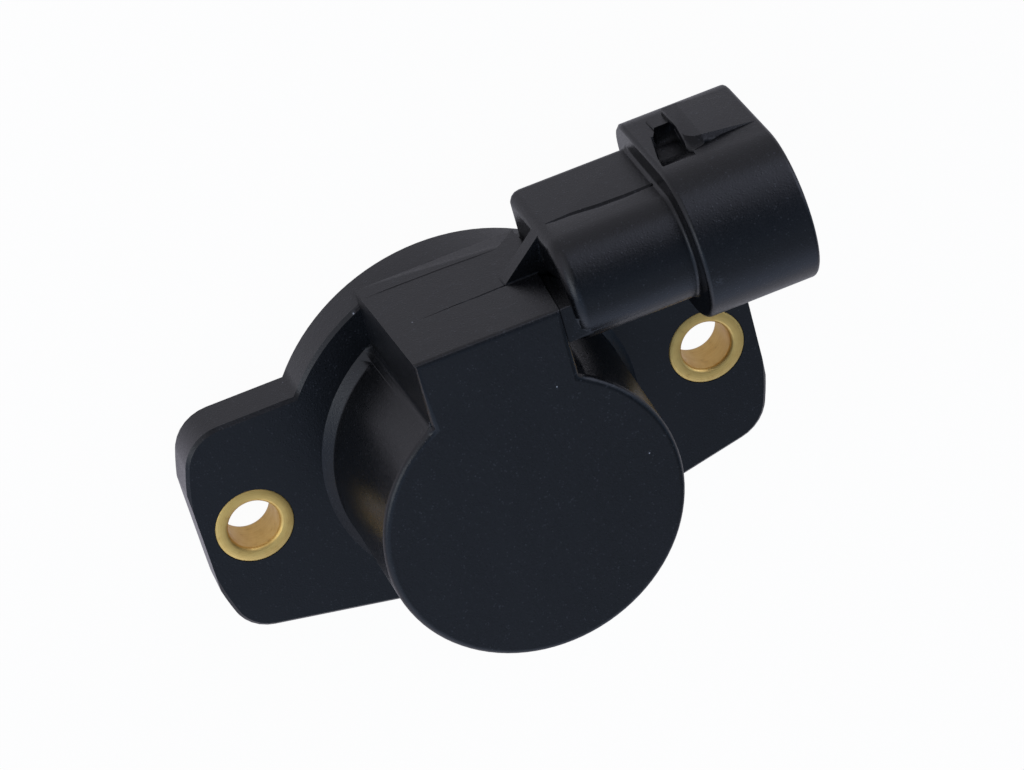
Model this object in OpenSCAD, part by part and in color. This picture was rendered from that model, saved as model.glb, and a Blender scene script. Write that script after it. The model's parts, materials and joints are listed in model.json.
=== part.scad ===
// Throttle position sensor: a moulded housing with two brass bushes, a side connector and a sprung rotor.
// The mounting face lies on z = 0, the rotor turns about z, and the connector mouth faces along x.

/* [Mounting flange] */
// Distance between the two mounting holes
hole_spacing = 50; // [46:0.5:54]
// Thickness of the flange
flange_t = 5.2; // [4.4:0.1:6]
// Margin of the ears beyond the holes
ear_margin = 6; // [5:0.1:8]
// Height of the straight upper edge of the ears above the rotor axis
ear_top_y = 12.2; // [11:0.1:13]
// Radius of the ear corners
ear_corner_r = 4.5; // [2:0.1:6]
// Width of the round lower edge beyond the foot ring
lower_margin = 0.5; // [0.3:0.05:1.5]
// Fall of the two lower edges, in degrees
lower_slope = 12.3; // [8:0.1:16]
// Small chamfer along the flange edges
flange_edge = 0.35; // [0.1:0.05:0.6]

/* [Bushes] */
// Outer diameter of a bush
bush_od = 8.3; // [7.6:0.1:9]
// Screw hole through a bush
bush_hole_d = 5.4; // [5:0.1:6]
// Chamfer at both ends of the bush hole
bush_chamfer = 0.4; // [0.1:0.05:0.7]

/* [Drum] */
// Height of the closed end above the mounting face
drum_top_z = 23.1; // [22:0.1:26]
// Radius of the drum at its closed end
drum_top_r = 15.6; // [15:0.1:17]
// How much wider the drum is at its foot, on the radius
drum_taper = 0.4; // [0.1:0.05:0.8]
// Width of the chamfered ring round the foot
foot_ring_w = 1; // [0.5:0.1:1.3]
// Thickness of the drum wall at the closed end
drum_wall = 2.6; // [2:0.1:3]
// Height of that ring
foot_ring_h = 1.1; // [0.6:0.1:2]
// Rounding of the closed end
drum_round = 0.7; // [0.3:0.1:1.2]
// Thickness of the closed end
end_wall = 2.4; // [2:0.1:3]

/* [Neck] */
// How far the neck's flat top stands out beyond the drum
neck_rise = 5.45; // [5:0.05:7]
// Half width on the free side, at the closed end
neck_free_x = 7.2; // [6.8:0.1:8]
// Half width on the connector side, at the closed end
neck_lead_x = 8; // [7.6:0.1:8.4]
// How much wider each side is at the flange
neck_spread = 0.9; // [0.3:0.1:1.2]
// Rounding of the neck's edges at the closed end
neck_round = 0.6; // [0.2:0.1:1]
// Radius where the free side runs into the drum
neck_fillet = 1.5; // [0.8:0.1:2]
// Half width of the lead bay inside the neck
lead_bay_x = 6; // [5.6:0.1:6.4]
// Wall over the lead bay
lead_bay_wall = 2.2; // [1.6:0.1:2.6]

/* [Connector] */
// Place where the stem starts
stem_x = 9.2; // [9:0.1:9.8]
// Reach of the gusset over the neck
gusset_reach = 4.3; // [3:0.1:5]
// Thickness of the gusset
gusset_t = 1.8; // [1.2:0.1:2.4]
// How far the gusset's tip stays below the stem's top
gusset_sink = 0.45; // [0.2:0.05:0.8]
// Place where the shroud starts
shroud_x = 22; // [20:0.1:24]
// Place of the mouth
mouth_x = 33.7; // [32.5:0.1:36]
// Middle of the section below the neck's top
conn_drop = 1; // [0.6:0.05:1.4]
// Half height of the stem section
stem_r = 5.55; // [5.2:0.05:5.9]
// Length of the stem section along z
stem_len = 18; // [17:0.1:18.2]
// Flat side of the stem above the mounting face
stem_low_z = 5; // [4.6:0.1:5.4]
// Corner radius of the flat side
stem_corner = 1.35; // [0.6:0.05:2]
// How far the shroud stands out from the stem, all round
shroud_step = 2.45; // [2:0.05:2.6]
// Wall of the shroud
shroud_wall = 1.75; // [1.4:0.05:2]
// Depth of the mouth
mouth_depth = 9.5; // [8:0.1:10.5]
// Rounding of the mouth rim
rim_round = 0.45; // [0.2:0.05:0.7]
// Rounding of the stem's free end
stem_round = 1.3; // [0.6:0.1:1.6]

/* [Lock on the shroud] */
// Height that the locking ledge rises above the shroud
ledge_h = 0.75; // [0.4:0.05:1]
// Place of the catching end of the ledge
ledge_x = 26.2; // [26:0.1:27]
// Radius of the ledge's corner at the catching end
ledge_corner = 1.6; // [1:0.1:2.4]
// Length of the slope behind the ledge, beside the pocket
back_slope = 1.8; // [1.2:0.1:2.2]
// Width of that slope along z
back_slope_w = 3.4; // [2.4:0.1:4]
// Place of the plane where the mould halves met
parting_z = 14.8; // [14:0.1:15.5]
// Length of the ledge along z
ledge_len = 7.8; // [7:0.1:8.6]
// Place where the catch pocket starts
pocket_x = 24; // [23.8:0.1:24.4]
// Depth of the catch pocket
pocket_depth = 1.15; // [0.6:0.05:1.3]
// Radius of the pocket's hollow floor
pocket_r = 4.5; // [4:0.1:5]
// Length over which the pocket runs out towards the mouth
pocket_run = 6.6; // [5:0.1:7.4]
// Height of the pocket's middle above the mounting face
pocket_z = 13.4; // [13:0.1:13.8]
// How far the pocket's start slants back towards the stem
pocket_slant = 1.2; // [0.6:0.1:1.4]
// Length of the ledge's level crown
ledge_crown = 1.6; // [1:0.1:2.4]

/* [Terminals] */
// Distance between neighbouring blades
blade_pitch = 5; // [4.6:0.1:5.2]
// Width of a blade
blade_w = 2.8; // [2.2:0.1:3]
// Thickness of blades and leads
blade_t = 0.8; // [0.6:0.05:0.9]
// How far the blade tips stay behind the mouth
blade_inset = 1.5; // [0.5:0.1:3]
// Width of a lead inside the neck
lead_w = 1.6; // [1.2:0.1:1.8]
// Distance between neighbouring lead feet
foot_pitch = 4; // [3.6:0.1:4.2]
// Shank radius of a card rivet
rivet_r = 0.5; // [0.4:0.05:0.6]
// Head radius of a card rivet
rivet_head_r = 0.95; // [0.8:0.05:1.1]
// Head height of a card rivet
rivet_head_h = 0.4; // [0.3:0.05:0.5]

/* [Track card] */
// Thickness of the card
card_t = 1; // [0.8:0.05:1.2]
// Thickness of the printed tracks
track_t = 0.12; // [0.08:0.01:0.2]
// Middle of the resistor track inside the drum wall
resistor_inset = 3; // [2.6:0.1:3.4]
// Middle of the collector track, as a share of the resistor track's radius
collector_ratio = 0.68; // [0.64:0.01:0.7]
// Width of a track
track_w = 1.8; // [1.2:0.1:2.2]

/* [Rotor] */
// Turn between the two stops, in degrees
travel_angle = 100; // [80:1:110]
// Room between the rotor disc and the drum wall
disc_room = 1; // [0.7:0.05:1.4]
// Thickness of the rotor disc
disc_t = 1.8; // [1.4:0.1:2.4]
// Height of the rotor disc above the mounting face
disc_z = 14.4; // [13.8:0.1:14.8]
// Wall of the hub round the drive socket
hub_wall = 3.36; // [3.1:0.01:3.8]
// How far the socket's flat cuts into its round
flat_cut = 1.05; // [0.7:0.05:1.5]
// Depth of the drive socket
socket_depth = 9; // [6:0.1:9.5]
// Set back of the rotor from the mounting face
rotor_back = 0.8; // [0.4:0.1:1.2]
// Thickness of the spring clip beside the socket's flat
clip_t = 0.4; // [0.3:0.05:0.5]
// Width of that clip
clip_w = 4; // [3:0.1:4.6]
// Radius of the pivot pin
pin_r = 2; // [1.6:0.1:2.2]
// Height of the stop lug under the disc
lug_h = 2.2; // [1.5:0.1:3]

/* [Wiper] */
// Thickness of the wiper plate
wiper_t = 0.35; // [0.25:0.05:0.45]
// Width of one wiper finger
finger_w = 0.8; // [0.5:0.05:1]
// Slope of the fingers, in degrees
finger_slope = 32; // [29:0.5:36]

/* [Cover, seals and springs] */
// Thickness of the rear cover
cover_t = 2.8; // [2.6:0.1:3.2]
// Set back of the cover from the mounting face
cover_back = 0.4; // [0.2:0.1:0.6]
// Width of the step that the cover seats on
cover_step = 1.2; // [1:0.05:1.4]
// Thickness of the flange seal
seal_t = 1.2; // [1:0.05:1.4]
// Middle of the flange seal beyond the cover
seal_out = 1.6; // [1.4:0.05:1.7]
// Thickness of the shaft seal
shaft_seal_t = 1.1; // [0.9:0.05:1.3]
// Wire thickness of the return spring
wire_t = 0.8; // [0.6:0.05:0.9]
// Middle of the return spring's wire, as a share of the drum's inside radius
spring_ratio = 0.77; // [0.75:0.01:0.79]
// Room between the spring and the journal's shoulder
spring_room = 1.2; // [0.8:0.1:1.6]
// Turns of the return spring
spring_turns = 4; // [3:1:5]
// Thickness of the wave washer
wave_t = 0.25; // [0.2:0.05:0.3]
// Rise of each wave
wave_h = 0.35; // [0.2:0.05:0.4]

/* [Clearances] */
// Running clearance of the journal and the pivot, on the radius
run_gap = 0.05; // [0.03:0.01:0.08]
// Clearance of pieces that sit still in a seat
seat_gap = 0.05; // [0.02:0.01:0.1]
// Clearance of the moving wiper and washer from what they slide on
slide_gap = 0.06; // [0.04:0.01:0.1]

/* [Hidden] */
fine = 96;
soft = 32;
eps = 0.01;

// Radii and heights of the outside
foot_ring_r = drum_top_r + drum_taper + foot_ring_w;
lower_r = foot_ring_r + lower_margin;
ear_r = hole_spacing / 2 + ear_margin;
neck_top_y = drum_top_r + neck_rise;
neck_root_y = drum_top_r - 9.6;
upper_r = neck_top_y - 0.05;
conn_y = neck_top_y - conn_drop;

// Radii inside the drum
bay_r = drum_top_r - drum_wall;
resistor_r = bay_r - resistor_inset;
collector_r = resistor_r * collector_ratio;
disc_r = bay_r - disc_room;
spring_r = bay_r * spring_ratio;
shoulder_r = spring_r - wire_t / 2 - spring_room;
journal_r = shoulder_r - 1;
socket_r = journal_r - hub_wall;
socket_flat = socket_r - flat_cut;
cover_r = bay_r + cover_step;
seal_r = cover_r + seal_out;

// Heights inside the drum
bay_top_z = drum_top_z - end_wall;
card_z = bay_top_z - card_t;
track_z = card_z - track_t;
cover_top_z = cover_back + cover_t;
groove_z = cover_back + 0.7;
groove_r = journal_r + slide_gap + shaft_seal_t + seat_gap;
seal_sink = 0.03;
disc_top_z = disc_z + disc_t;
card_gap = 0.15;
boss_r = 3.6;
boss_h = 1.8;
boss_z = bay_top_z - boss_h;
pin_grip = 1.6;
pin_low_z = disc_z - 2;
pin_top_z = bay_top_z + pin_grip;

// Section of the connector
stem_high_z = stem_low_z + stem_len;
conn_z = (stem_low_z + stem_high_z) / 2;
stem_top_y = conn_y + stem_r;
shroud_top_y = stem_top_y + shroud_step;
bore_step = shroud_step - shroud_wall;
mouth_floor_x = mouth_x - mouth_depth;

// Lead route
lead_room = 0.85;
lead_y = neck_top_y - lead_bay_wall - blade_t / 2 - lead_room;
foot_y = lead_y - 2.2;
foot_w = 2.2;
bend_run = 4;
bend_x = stem_x + bend_run;
blade_x = bend_x + bend_run;
root_len = 1.6;
blade_tip = 0.7;
blade_bevel = 0.35;
bridge_h = 3.8;
bridge_high_y = neck_top_y - 0.6;
bridge_low_y = bridge_high_y - bridge_h;
bridge_top_z = drum_top_z - 1.1;
lead_bay_top_y = neck_top_y - lead_bay_wall;
lead_bay_low_z = 7;
lead_bay_y = 7.6;
lead_zs = [card_z - lead_w / 2 - 0.2, conn_z, conn_z - blade_pitch];
blade_zs = [conn_z + blade_pitch, conn_z, conn_z - blade_pitch];
foot_xs = [foot_pitch, 0, -foot_pitch];

// Heights and places on the rotor
wave_w = 1.9;
washer_lift = 0.02;
shoulder_z = cover_top_z + wave_h + wave_t + washer_lift + slide_gap;
spring_low_z = shoulder_z + 0.9;
spring_high_z = disc_z - lug_h - 1.2;
clip_lip = 2;
lip_sink = 0.3;
stud_r = 0.45;
leg_gap = 0.1;
slot_depth = 1.1;
leg_grip = 1;
slot_top_z = spring_low_z + wire_t / 2 + leg_gap;
tip_y = 1.2;
finger_rise = track_z - slide_gap - disc_top_z - wiper_t;
root_y = tip_y - finger_rise / tan(finger_slope);
stud_y = root_y - 1.2;
stud_sink = 0.5;
stud_head = 0.3;
finger_apart = 0.3;
plate_len = 1.8;

// Angles about the rotor axis
leg_angle = 280;
rest_angle = 220;
lug_r = disc_r - 0.4;
lug_angle = 16;
stop_angle = 8;
lead_in_angle = 4;
track_angle = travel_angle + lead_in_angle + 20;
slack_angle = 1.5;
leg_room = 0.4;
stop_rib = bay_r - spring_r - wire_t / 2 - leg_room;
stop_low_z = disc_z - lug_h - 0.4;
stop_high_z = disc_z - 0.2;
low_stop_angle = rest_angle - lug_angle / 2 - slack_angle - stop_angle;
high_stop_angle = rest_angle + travel_angle + lug_angle / 2 + slack_angle;

// A ring sector between two radii, from angle a, over span degrees
module sector(r_in, r_out, a, span, h) {
    rotate([0, 0, a])
        rotate_extrude(angle = span, $fn = fine)
            translate([r_in, 0])
                square([r_out - r_in, h]);
}

// Directions across and along the lower edge of the ear at +x
function slope_n() = [sin(lower_slope), -cos(lower_slope)];
function slope_d() = [cos(lower_slope), sin(lower_slope)];

// The outline of the ear at +x, grown by g
module ear_outline(g) {
    reach = ear_r - ear_corner_r;
    high_y = ear_top_y - ear_corner_r;
    high = [sqrt(reach * reach - high_y * high_y), high_y];
    off = lower_r - ear_corner_r;
    low = off * slope_n() + sqrt(reach * reach - off * off) * slope_d();
    out = (ear_r + g) / reach;
    intersection() {
        circle(ear_r + g, $fn = 2 * fine);
        polygon([[0, ear_top_y + g], [high[0], ear_top_y + g], out * high, 1.2 * high, 1.2 * low, out * low,
            low + (ear_corner_r + g) * slope_n(), (lower_r + g) * slope_n(), [0, 0]]);
    }
    for (c = [high, low])
        translate(c)
            circle(ear_corner_r + g, $fn = soft);
}

// One layer of an ear, t thick from height z
module ear_layer(z, g, t) {
    translate([0, 0, z])
        linear_extrude(t)
            ear_outline(g);
}

module ear() {
    e = flange_edge;
    hull() {
        ear_layer(0, -e, eps);
        ear_layer(e, 0, flange_t - 2 * e);
        ear_layer(flange_t - eps, -e, eps);
    }
}

module chamfered_disc(r, h, e) {
    rotate_extrude($fn = 2 * fine)
        polygon([[0, 0], [r - e, 0], [r, e], [r, h - e], [r - e, h], [0, h]]);
}

module flange() {
    ear();
    mirror([1, 0, 0])
        ear();
    chamfered_disc(lower_r, flange_t, flange_edge);
    intersection() {
        chamfered_disc(upper_r, flange_t, flange_edge);
        translate([-upper_r, 0, 0])
            cube([2 * upper_r, upper_r, flange_t]);
    }
}

// The connector section, grown by g: a flat side near the mounting face and a round far side
module conn_section(g) {
    arc_x = stem_len / 2 - stem_r;
    r = max(stem_corner + g, 0.05);
    translate([arc_x, 0])
        circle(stem_r + g, $fn = 64);
    translate([-stem_len / 2 + stem_corner, -stem_r - g])
        square([stem_len / 2 - stem_corner + arc_x, 2 * (stem_r + g)]);
    translate([-stem_len / 2 - g, -stem_r + stem_corner])
        square([stem_len / 2, 2 * (stem_r - stem_corner)]);
    for (s = [-1, 1])
        translate([-stem_len / 2 + stem_corner, s * (stem_r - stem_corner)])
            circle(r, $fn = soft);
}

// That section stood up across x, from x0 over length l
module conn_slab(x0, l, g) {
    translate([x0, conn_y, conn_z])
        rotate([0, -90, 0])
            mirror([0, 0, 1])
                linear_extrude(l)
                    conn_section(g);
}

module drum() {
    edge = drum_top_r - drum_round;
    rise = drum_top_z - drum_round;
    rotate_extrude($fn = 2 * fine)
        polygon(concat([[0, 1], [foot_ring_r, 1], [foot_ring_r, flange_t]],
            [[drum_top_r + drum_taper, flange_t + foot_ring_h]],
            [for (a = [0:15:90]) [edge + drum_round * cos(a), rise + drum_round * sin(a)]],
            [[0, drum_top_z]]));
}

// One level of the neck at height z, wider by grow on both sides and cut back by inset
module neck_slice(z, grow, inset) {
    translate([-neck_free_x - grow + inset, neck_root_y, z])
        cube([neck_free_x + neck_lead_x + 2 * grow - 2 * inset, neck_top_y - neck_root_y - inset, eps]);
}

module neck() {
    top = drum_top_z;
    r = neck_round;
    hull() {
        neck_slice(flange_t - 0.2, neck_spread, 0);
        neck_slice(top - r, 0, 0);
        neck_slice(top - 0.3 * r, 0, 0.3 * r);
        neck_slice(top - eps, 0, r);
    }
}

// The soft inner corner between the drum and the neck's free side
module neck_fillet_strip() {
    tall = drum_top_z - drum_round - flange_t;
    mid_x = neck_free_x + neck_fillet;
    mid_y = sqrt(pow(drum_top_r + neck_fillet, 2) - mid_x * mid_x);
    touch = drum_top_r / (drum_top_r + neck_fillet);
    translate([-neck_free_x, 0, drum_top_z - drum_round])
        rotate([0, atan(neck_spread / tall), 0])
            translate([neck_free_x, 0, -tall - 0.3])
                linear_extrude(tall + 0.3)
                    difference() {
                        polygon([[-neck_free_x + 1, mid_y - 1.6], [-neck_free_x + 1, mid_y], [-mid_x, mid_y],
                            [-mid_x * touch, mid_y * touch], [-mid_x * touch + 0.6, mid_y * touch - 0.8]]);
                        translate([-mid_x, mid_y])
                            circle(neck_fillet, $fn = fine);
                    }
}

// Layers that round an end with radius r: how far in from the end, and how much smaller there
function round_layers(r) = [for (a = [0:22.5:67.5]) [r * (1 - cos(a)), r * (1 - sin(a))]];

module stem() {
    hull() {
        for (l = round_layers(stem_round))
            conn_slab(stem_x + l[0], eps, -l[1]);
        conn_slab(stem_x + stem_round, shroud_x - stem_x, 0);
    }
}

module shroud() {
    bevel = 0.7 * rim_round;
    hull() {
        conn_slab(shroud_x, eps, shroud_step - bevel);
        conn_slab(shroud_x + bevel, mouth_x - shroud_x - rim_round - bevel, shroud_step);
        for (l = round_layers(rim_round))
            conn_slab(mouth_x - l[0] - eps, eps, shroud_step - l[1]);
    }
}

// Plan of the ledge seen from above, with z along the second axis: one corner is rounded
module ledge_plan() {
    square([mouth_x - ledge_x, ledge_len - ledge_corner]);
    translate([ledge_corner, 0])
        square([mouth_x - ledge_x - ledge_corner, ledge_len]);
    translate([ledge_corner, ledge_len - ledge_corner])
        circle(ledge_corner, $fn = fine);
}

// The ledge rises from the mouth to its catching end, behind the parting plane
module ledge() {
    root_y = shroud_top_y - pocket_depth - 0.15;
    high_y = shroud_top_y + ledge_h;
    end_x = mouth_x - rim_round;
    low_z = parting_z - ledge_len;
    intersection() {
        translate([0, 0, low_z])
            linear_extrude(ledge_len)
                polygon([[ledge_x, root_y], [end_x, root_y], [end_x, shroud_top_y],
                    [ledge_x + ledge_crown, high_y], [ledge_x, high_y]]);
        translate([ledge_x, root_y - 1, low_z])
            rotate([-90, 0, 0])
                mirror([0, 1, 0])
                    linear_extrude(high_y - root_y + 2)
                        ledge_plan();
    }
    translate([0, 0, low_z])
        linear_extrude(back_slope_w)
            polygon([[ledge_x - back_slope, root_y], [ledge_x + 1, root_y], [ledge_x + 1, high_y],
                [ledge_x - 0.3, high_y], [ledge_x - back_slope, shroud_top_y + 0.1]]);
}

// The hollow behind the ledge, where a plug's latch drops in: its round floor runs out towards the mouth
module catch_pocket() {
    half = sqrt(pow(pocket_r, 2) - pow(pocket_r - pocket_depth, 2));
    reach = half + 1.5;
    intersection() {
        translate([pocket_x, shroud_top_y - pocket_depth + pocket_r, pocket_z])
            rotate([0, 0, atan(pocket_depth / pocket_run)])
                rotate([0, 90, 0])
                    translate([0, 0, -2])
                        cylinder(h = pocket_run + 4, r = pocket_r, $fn = fine);
        translate([pocket_x, shroud_top_y - 2, pocket_z])
            rotate([-90, 0, 0])
                mirror([0, 1, 0])
                    linear_extrude(4)
                        polygon([[0, -reach], [pocket_run + 1, -reach], [pocket_run + 1, reach],
                            [-pocket_slant, reach], [-pocket_slant, half / 2]]);
    }
}

module gusset() {
    foot_x = stem_x - gusset_reach;
    root_y = neck_top_y - 0.5;
    inner_x = stem_x + 2;
    translate([0, 0, parting_z - gusset_t])
        linear_extrude(gusset_t)
            polygon([[foot_x, root_y], [foot_x, neck_top_y], [stem_x + gusset_sink, stem_top_y - gusset_sink],
                [inner_x, stem_top_y - gusset_sink], [inner_x, root_y]]);
}

// The lead's flat run, grown by g: it comes off the blade's line and drops to the line of the feet
module lead_run(k, g) {
    x_foot = foot_xs[k];
    z_mid = lead_zs[k];
    x_end = x_foot - lead_w / 2;
    t = blade_t / 2 + g;
    translate([0, 0, z_mid - lead_w / 2 - g])
        linear_extrude(lead_w + 2 * g)
            polygon([[x_end, lead_y - t], [bend_x, lead_y - t], [blade_x, conn_y - t],
                [blade_x + root_len, conn_y - t], [blade_x + root_len, conn_y + t], [blade_x, conn_y + t],
                [bend_x, lead_y + t], [x_end, lead_y + t]]);
}

module blade(k, g) {
    z_low = min(blade_zs[k] - blade_w / 2, lead_zs[k] - lead_w / 2);
    z_high = max(blade_zs[k] + blade_w / 2, lead_zs[k] + lead_w / 2);
    translate([blade_x, conn_y - blade_t / 2 - g, z_low - g])
        cube([root_len, blade_t + 2 * g, z_high - z_low + 2 * g]);
    translate([blade_x, conn_y - blade_t / 2 - g, blade_zs[k] - blade_w / 2 - g])
        cube([mouth_x - blade_inset - blade_x, blade_t + 2 * g, blade_w + 2 * g]);
}

// One stamped terminal: blade, run, riser and foot
module terminal(k) {
    x_foot = foot_xs[k];
    foot_low = card_z - blade_t;
    foot_front = foot_y - 1.2;
    difference() {
        union() {
            blade(k, 0);
            lead_run(k, 0);
            translate([x_foot - lead_w / 2, lead_y - blade_t / 2, lead_zs[k] - lead_w / 2])
                cube([lead_w, blade_t, foot_low - lead_zs[k] + lead_w / 2 + blade_t / 2]);
            translate([x_foot - foot_w / 2, foot_front, foot_low])
                cube([foot_w, lead_y + blade_t / 2 - foot_front, blade_t]);
        }
        translate([x_foot, foot_y, foot_low - 1])
            cylinder(h = blade_t + 2, r = rivet_r + seat_gap, $fn = soft);
        for (s = [-1, 1])
            translate([mouth_x - blade_inset, conn_y, blade_zs[k] + s * blade_w / 2])
                rotate([0, 45, 0])
                    cube([blade_tip, 2, blade_tip], center = true);
        for (s = [-1, 1])
            translate([mouth_x - blade_inset, conn_y + s * blade_t / 2, blade_zs[k]])
                rotate([0, 0, 45])
                    cube([blade_bevel, blade_bevel, blade_w + 2], center = true);
    }
}

module rivet(k) {
    translate([foot_xs[k], foot_y, card_z - blade_t - rivet_head_h])
        cylinder(h = rivet_head_h, r = rivet_head_r, $fn = soft);
    translate([foot_xs[k], foot_y, card_z - blade_t - rivet_head_h])
        cylinder(h = card_t + blade_t + 2 * rivet_head_h, r = rivet_r, $fn = soft);
    translate([foot_xs[k], foot_y, bay_top_z])
        cylinder(h = rivet_head_h, r = rivet_head_r, $fn = soft);
}

module housing_body() {
    flange();
    drum();
    neck();
    neck_fillet_strip();
    translate([neck_lead_x - 1.5, bridge_low_y, flange_t - 0.2])
        cube([stem_x + 3 - neck_lead_x, bridge_high_y - bridge_low_y, bridge_top_z - flange_t + 0.2]);
    gusset();
    stem();
    difference() {
        shroud();
        catch_pocket();
    }
    ledge();
}

module housing() {
    color("#26272c")
        difference() {
            housing_body();
            for (s = [-1, 1])
                translate([s * hole_spacing / 2, 0, -1])
                    cylinder(h = flange_t + 2, r = bush_od / 2, $fn = fine);
            translate([0, 0, -1])
                cylinder(h = cover_top_z + 1, r = cover_r + seat_gap, $fn = fine);
            difference() {
                translate([0, 0, 1])
                    cylinder(h = bay_top_z - 1, r = bay_r, $fn = fine);
                translate([0, 0, boss_z])
                    cylinder(h = boss_h + 1, r = boss_r, $fn = fine);
                for (a = [low_stop_angle, high_stop_angle])
                    translate([0, 0, stop_low_z])
                        sector(bay_r - stop_rib, bay_r + 1, a, stop_angle, stop_high_z - stop_low_z);
            }
            translate([-lead_bay_x, lead_bay_y, lead_bay_low_z])
                cube([2 * lead_bay_x, lead_bay_top_y - lead_bay_y, bay_top_z - lead_bay_low_z]);
            rotate([0, 0, leg_angle])
                translate([bay_r - 1, -wire_t / 2 - leg_gap, cover_top_z - 0.5])
                    cube([1 + slot_depth, wire_t + 2 * leg_gap, slot_top_z + 0.5 - cover_top_z]);
            translate([0, 0, boss_z - 1])
                cylinder(h = pin_top_z - boss_z + 1, r = pin_r, $fn = fine);
            translate([0, 0, -1])
                sector(seal_r - seal_t / 2 - seat_gap, seal_r + seal_t / 2 + seat_gap, 0, 360,
                    1 + seal_sink + seal_t + seat_gap);
            conn_slab(mouth_floor_x, mouth_depth + 1, bore_step);
            for (k = [0:2]) {
                lead_run(k, 0);
                blade(k, 0);
                translate([foot_xs[k], foot_y, bay_top_z - 1])
                    cylinder(h = 1 + rivet_head_h + seat_gap, r = rivet_head_r + seat_gap, $fn = soft);
            }
        }
}

module bush(s) {
    color("#c9a85a")
        translate([s * hole_spacing / 2, 0, 0])
            rotate_extrude($fn = fine)
                polygon([[bush_hole_d / 2 + bush_chamfer, 0], [bush_od / 2, 0], [bush_od / 2, flange_t],
                    [bush_hole_d / 2 + bush_chamfer, flange_t], [bush_hole_d / 2, flange_t - bush_chamfer],
                    [bush_hole_d / 2, bush_chamfer]]);
}

module left_bush() {
    bush(-1);
}

module right_bush() {
    bush(1);
}

module rear_cover() {
    color("#303136")
        difference() {
            translate([0, 0, cover_back])
                rotate_extrude($fn = fine)
                    polygon([[journal_r + run_gap, 0], [cover_r - 0.3, 0], [cover_r, 0.3], [cover_r, cover_t],
                        [journal_r + run_gap, cover_t]]);
            translate([0, 0, groove_z])
                cylinder(h = shaft_seal_t + 2 * seat_gap, r = groove_r, $fn = fine);
        }
}

module flange_seal() {
    color("#3b3b3b")
        translate([0, 0, seal_t / 2 + seal_sink])
            rotate_extrude($fn = fine)
                translate([seal_r, 0])
                    circle(seal_t / 2, $fn = soft);
}

module shaft_seal() {
    color("#4a3a35")
        translate([0, 0, groove_z + seat_gap + shaft_seal_t / 2])
            rotate_extrude($fn = fine)
                translate([journal_r + slide_gap + shaft_seal_t / 2, 0])
                    circle(shaft_seal_t / 2, $fn = soft);
}

module pivot_pin() {
    color("#b9bcc0")
        translate([0, 0, pin_low_z])
            rotate_extrude($fn = fine)
                polygon([[0, 0], [pin_r - 0.3, 0], [pin_r, 0.3], [pin_r, pin_top_z - pin_low_z],
                    [0, pin_top_z - pin_low_z]]);
}

module track_card() {
    color("#d8d5c8")
        difference() {
            translate([0, 0, card_z])
                linear_extrude(card_t)
                    union() {
                        circle(bay_r - card_gap, $fn = fine);
                        translate([-lead_bay_x + card_gap, 0])
                            square([2 * (lead_bay_x - card_gap), lead_bay_top_y - 2 * card_gap]);
                    }
            translate([0, 0, card_z - 1])
                cylinder(h = card_t + 2, r = boss_r + card_gap, $fn = fine);
            for (k = [0:2])
                translate([foot_xs[k], foot_y, card_z - 1])
                    cylinder(h = card_t + 2, r = rivet_r + seat_gap, $fn = soft);
        }
}

// A printed arc under the sweep of one pair of wiper fingers
module track(r) {
    translate([0, 0, track_z])
        sector(r - track_w / 2, r + track_w / 2, rest_angle - lead_in_angle, track_angle, track_t);
}

module resistor_track() {
    color("#2e2a28")
        track(resistor_r);
}

module collector_track() {
    color("#9a9aa0")
        track(collector_r);
}

module supply_terminal() {
    color("#cfcfc8")
        terminal(0);
}

module signal_terminal() {
    color("#cfcfc8")
        terminal(1);
}

module ground_terminal() {
    color("#cfcfc8")
        terminal(2);
}

module supply_rivet() {
    color("#c7ccd0")
        rivet(0);
}

module signal_rivet() {
    color("#c7ccd0")
        rivet(1);
}

module ground_rivet() {
    color("#c7ccd0")
        rivet(2);
}

// Sweeps a round wire through the points, with n sides
module swept_wire(pts, r, n) {
    last = len(pts) - 1;
    function unit(v) = v / norm(v);
    rings = [for (i = [0:last])
        let (t = unit(pts[min(i + 1, last)] - pts[max(i - 1, 0)]))
        let (a = unit(cross(t, [0, 0, 1])))
        let (b = cross(t, a))
        for (j = [0:n - 1]) pts[i] + r * (cos(360 * j / n) * a + sin(360 * j / n) * b)];
    sides = [for (i = [0:last - 1]) for (j = [0:n - 1]) [(i + 1) * n + j, (i + 1) * n + (j + 1) % n,
        i * n + (j + 1) % n, i * n + j]];
    polyhedron(rings, concat([[for (j = [0:n - 1]) j]], sides, [[for (j = [n - 1:-1:0]) last * n + j]]));
}

// A flat ring that rises and falls three times on its way round
module wave_washer() {
    n = 36;
    r_in = journal_r + 0.3;
    r_out = r_in + wave_w;
    function up(i) = wave_h / 2 * (1 - cos(3 * 360 * i / n));
    function at(r, i, z) = [r * cos(360 * i / n), r * sin(360 * i / n), z + up(i)];
    section = [[r_in, 0], [r_out, 0], [r_out, wave_t], [r_in, wave_t]];
    pts = [for (i = [0:n - 1]) for (p = section) at(p[0], i, p[1])];
    sides = [for (i = [0:n - 1]) for (j = [0:3]) [4 * i + j, 4 * i + (j + 1) % 4,
        4 * ((i + 1) % n) + (j + 1) % 4, 4 * ((i + 1) % n) + j]];
    color("#b4b8bd")
        translate([0, 0, cover_top_z + washer_lift])
            polyhedron(pts, sides, convexity = 6);
}

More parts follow.
